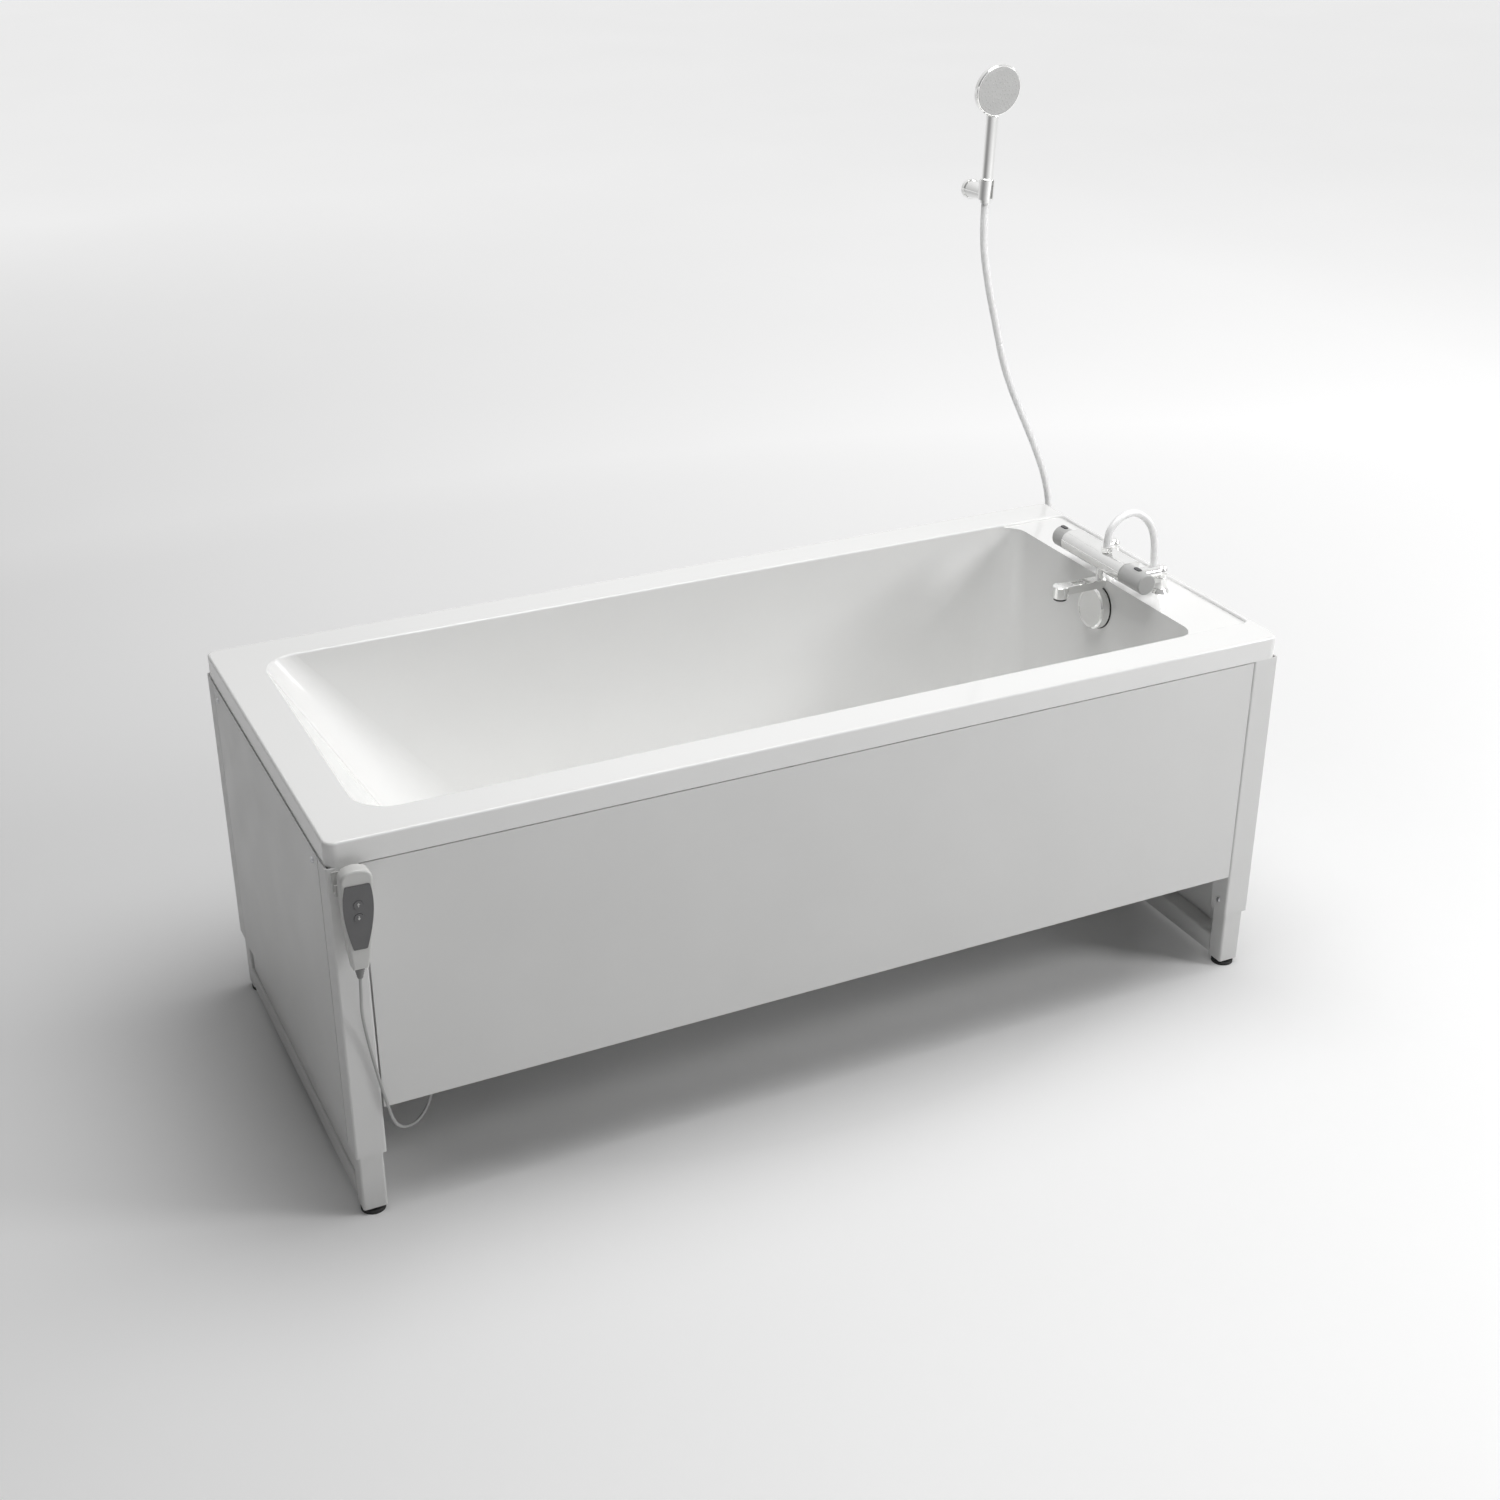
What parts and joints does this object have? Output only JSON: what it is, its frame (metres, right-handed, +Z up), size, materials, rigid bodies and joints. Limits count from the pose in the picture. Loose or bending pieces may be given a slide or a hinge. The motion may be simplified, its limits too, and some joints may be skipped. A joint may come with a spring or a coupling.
{
  "type": "height-adjustable bathtub",
  "caption": "Bathtub with sloping backrest on telescopic legs, with deck mixer, swivelling spout, hand shower and a corded hand control for the height.",
  "frame": {"origin": "on the floor under the middle of the bath", "axes": "+X along the bath to the tap end, +Y from the front panel to the wall side, +Z up"},
  "size_m": [1.738, 0.83, 1.5468],
  "materials": {
    "white_acrylic": "gloss",
    "white_paint": "powder coat, satin",
    "white_panel": "satin",
    "chrome": "polished",
    "dark_grip": "fine texture",
    "dark_button": "satin",
    "light_case": "satin",
    "dark_plate": "satin",
    "black_plastic": "satin",
    "black_rubber": "matt",
    "grey_face": "satin",
    "steel": "bright",
    "motor_grey": "satin",
    "pipe_white": "satin",
    "hose_silver": "smooth silver-grey",
    "cable_grey": "satin",
    "glide_black": "satin"
  },
  "bodies": {
    "floor_frame": {"leg_front_left": "white_paint", "leg_front_right": "white_paint", "leg_back_left": "white_paint", "leg_back_right": "white_paint", "cross_tube_left": "white_paint", "cross_tube_right": "white_paint", "leg_heads": "glide_black", "wall_holder": "chrome", "hose_upper": "hose_silver"},
    "tub_frame": {"sleeve_front_left": "white_paint", "sleeve_front_right": "white_paint", "sleeve_back_left": "white_paint", "sleeve_back_right": "white_paint", "lower_glides": "glide_black", "gear_motors": "motor_grey", "side_rails": "white_paint", "end_rails": "white_paint", "rim_brackets": "white_paint", "tub_shell": "white_acrylic", "front_panel": "white_paint", "end_panel_left": "white_panel", "end_panel_right": "white_panel", "panel_screws": "steel", "control_box": "black_plastic", "overflow_pipe": "pipe_white", "overflow_gasket": "black_rubber", "waste_body": "chrome", "waste_trap": "pipe_white", "mixer_body": "chrome", "pillar_unions": "chrome", "union_nuts": "chrome", "hose_nut": "chrome", "hose_grommet": "chrome", "hanger": "light_case", "hose_deck": "hose_silver", "hose_lower": "hose_silver", "handset_cable": "cable_grey"},
    "temperature_control": {"temperature_handle": "dark_grip"},
    "temperature_stop": {"temperature_button": "dark_button"},
    "flow_control": {"flow_handle": "dark_grip"},
    "flow_stop": {"flow_button": "dark_button"},
    "bath_spout": {"spout": "chrome", "aerator": "black_plastic"},
    "overflow_control": {"overflow_knob": "chrome"},
    "plug": {"drain_plug": "chrome"},
    "hand_control": {"handset_case": "light_case", "handset_plate": "dark_plate", "strain_relief": "black_rubber"},
    "raise_button": {"up_button": "dark_plate"},
    "lower_button": {"down_button": "dark_plate"},
    "shower": {"hand_shower": "chrome", "spray_face": "grey_face"},
    "levelling_front_left": {"foot_front_left": "black_rubber"},
    "screw_front_left": {"spindle_front_left": "steel"},
    "levelling_front_right": {"foot_front_right": "black_rubber"},
    "screw_front_right": {"spindle_front_right": "steel"},
    "levelling_back_left": {"foot_back_left": "black_rubber"},
    "screw_back_left": {"spindle_back_left": "steel"},
    "levelling_back_right": {"foot_back_right": "black_rubber"},
    "screw_back_right": {"spindle_back_right": "steel"}
  },
  "joints": [
    {"name": "lift", "type": "slide", "parent": "floor_frame", "child": "tub_frame", "axis": [0, 0, 1], "range_m": [-0.06, 0.24], "deforming": ["hose_lower"]},
    {"name": "foot_front_left_thread", "type": "slide", "parent": "floor_frame", "child": "levelling_front_left", "axis": [0, 0, 1], "range_m": [-0.02, 0]},
    {"name": "spindle_front_left_turn", "type": "hinge", "parent": "tub_frame", "child": "screw_front_left", "pos_m": [-0.827, -0.352, 0.6], "axis": [0, 0, 1], "range_deg": [-1801, 7201]},
    {"name": "foot_front_right_thread", "type": "slide", "parent": "floor_frame", "child": "levelling_front_right", "axis": [0, 0, 1], "range_m": [-0.02, 0]},
    {"name": "spindle_front_right_turn", "type": "hinge", "parent": "tub_frame", "child": "screw_front_right", "pos_m": [0.827, -0.352, 0.6], "axis": [0, 0, 1], "range_deg": [-7201, 1801]},
    {"name": "foot_back_left_thread", "type": "slide", "parent": "floor_frame", "child": "levelling_back_left", "axis": [0, 0, 1], "range_m": [-0.02, 0]},
    {"name": "spindle_back_left_turn", "type": "hinge", "parent": "tub_frame", "child": "screw_back_left", "pos_m": [-0.827, 0.352, 0.6], "axis": [0, 0, 1], "range_deg": [-7201, 1801]},
    {"name": "foot_back_right_thread", "type": "slide", "parent": "floor_frame", "child": "levelling_back_right", "axis": [0, 0, 1], "range_m": [-0.02, 0]},
    {"name": "spindle_back_right_turn", "type": "hinge", "parent": "tub_frame", "child": "screw_back_right", "pos_m": [0.827, 0.352, 0.6], "axis": [0, 0, 1], "range_deg": [-1801, 7201]},
    {"name": "temperature_turn", "type": "hinge", "parent": "tub_frame", "child": "temperature_control", "pos_m": [0.712, -0.137, 0.7165], "axis": [0, 1, 0], "range_deg": [-120, 60]},
    {"name": "temperature_stop_push", "type": "slide", "parent": "temperature_control", "child": "temperature_stop", "axis": [0, 0, -1], "range_m": [0, 0.001], "stiffness_N_per_m": 400},
    {"name": "flow_turn", "type": "hinge", "parent": "tub_frame", "child": "flow_control", "pos_m": [0.712, 0.094, 0.7165], "axis": [0, 1, 0], "range_deg": [-90, 90]},
    {"name": "flow_stop_push", "type": "slide", "parent": "flow_control", "child": "flow_stop", "axis": [0, 0, -1], "range_m": [0, 0.001], "stiffness_N_per_m": 400},
    {"name": "spout_swivel", "type": "hinge", "parent": "tub_frame", "child": "bath_spout", "pos_m": [0.712, -0.027, 0.69], "axis": [0, 0, 1], "range_deg": [-80, 80]},
    {"name": "overflow_turn", "type": "hinge", "parent": "tub_frame", "child": "overflow_control", "pos_m": [0.72757, -0.007, 0.611], "axis": [-0.9962, 0, 0.0872], "range_deg": [0, 90]},
    {"name": "plug_lift", "type": "slide", "parent": "tub_frame", "child": "plug", "axis": [0, 0, 1], "range_m": [0, 0.0101]},
    {"name": "hand_control_unhook", "type": "slide", "parent": "tub_frame", "child": "hand_control", "axis": [0, 0, 1], "range_m": [0, 0.05], "deforming": ["handset_cable"]},
    {"name": "up_button_push", "type": "slide", "parent": "hand_control", "child": "raise_button", "axis": [0, 1, 0], "range_m": [0, 0.001], "stiffness_N_per_m": 400},
    {"name": "down_button_push", "type": "slide", "parent": "hand_control", "child": "lower_button", "axis": [0, 1, 0], "range_m": [0, 0.001], "stiffness_N_per_m": 400},
    {"name": "shower_lift_out", "type": "slide", "parent": "floor_frame", "child": "shower", "axis": [0, -0.061, 0.9981], "range_m": [0, 0.06], "deforming": ["hose_upper"]}
  ],
  "couplings": [
    {"joint": "spindle_front_left_turn", "follows": "lift", "rad_per_m": 523.6},
    {"joint": "spindle_front_right_turn", "follows": "lift", "rad_per_m": -523.6},
    {"joint": "spindle_back_left_turn", "follows": "lift", "rad_per_m": -523.6},
    {"joint": "spindle_back_right_turn", "follows": "lift", "rad_per_m": 523.6},
    {"joint": "plug_lift", "follows": "overflow_turn", "m_per_rad": 0.0063662}
  ]
}
